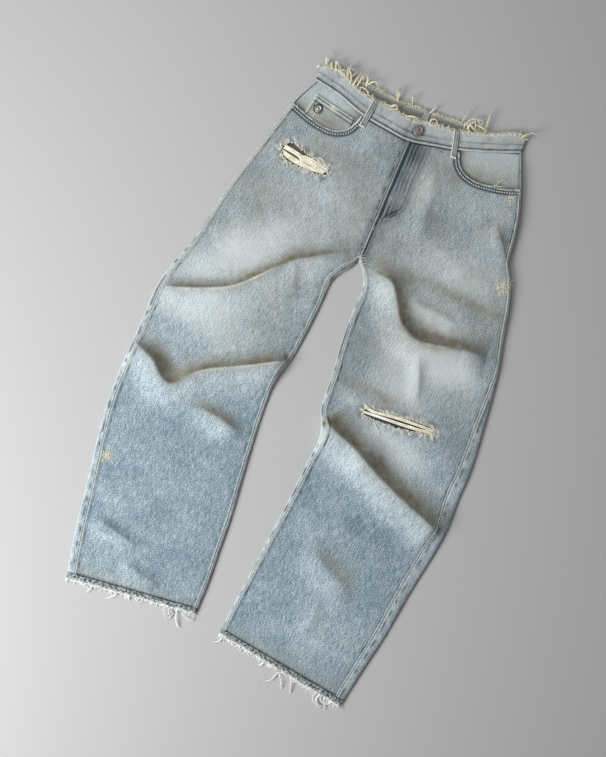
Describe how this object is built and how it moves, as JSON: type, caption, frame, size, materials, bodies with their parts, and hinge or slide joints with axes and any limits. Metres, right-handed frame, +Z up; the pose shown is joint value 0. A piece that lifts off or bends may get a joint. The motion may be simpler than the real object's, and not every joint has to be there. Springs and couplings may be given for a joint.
{
  "type": "ripped jeans",
  "caption": "Wide light-washed denim jeans laid flat, front up, with raw frayed waist and hems, a torn hip, a torn knee and broad cross folds.",
  "frame": {"origin": "on the surface the jeans lie on, under the middle of their outline", "axes": "+X to the wearer's left, +Y up the body towards the waist, +Z up off the surface"},
  "size_m": [0.686, 1.1348, 0.0234],
  "materials": {
    "light_denim": "light-washed indigo cotton twill with grey-green and tan dirt tint, soft, worn pale on the folds",
    "edge_denim": "doubled denim worn at its ridges, darker between them",
    "cotton_thread": "undyed cotton weft threads, matt cream white",
    "pocketing": "plain cotton pocket cloth",
    "zip_tape": "woven cotton tape",
    "grey_brass": "aged grey-pink plated brass, satin, plain face",
    "silver_rivet": "nickel-plated brass rivet, worn, plain face"
  },
  "bodies": {
    "root": {"front_right": "light_denim", "front_left": "light_denim", "back_right": "light_denim", "back_left": "light_denim", "yoke_right": "light_denim", "yoke_left": "light_denim", "waistband": "light_denim", "pocket_facing_right": "light_denim", "pocket_facing_left": "light_denim", "coin_pocket": "light_denim", "back_pocket_right": "light_denim", "back_pocket_left": "light_denim", "hem_right": "edge_denim", "hem_left": "edge_denim", "loop_front_right": "edge_denim", "loop_front_left": "edge_denim", "loop_back_centre": "edge_denim", "loop_back_right": "edge_denim", "loop_back_left": "edge_denim", "fray_hem_right": "cotton_thread", "fray_hem_left": "cotton_thread", "fray_waist_front": "cotton_thread", "fray_waist_back_right": "cotton_thread", "fray_waist_back_left": "cotton_thread", "rip_threads_hip": "cotton_thread", "rip_threads_knee": "cotton_thread", "pocket_bag_right": "pocketing", "pocket_bag_left": "pocketing", "zip_tape": "zip_tape", "waist_button": "grey_brass", "zip_slider": "grey_brass", "coin_rivet": "silver_rivet"}
  },
  "joints": []
}
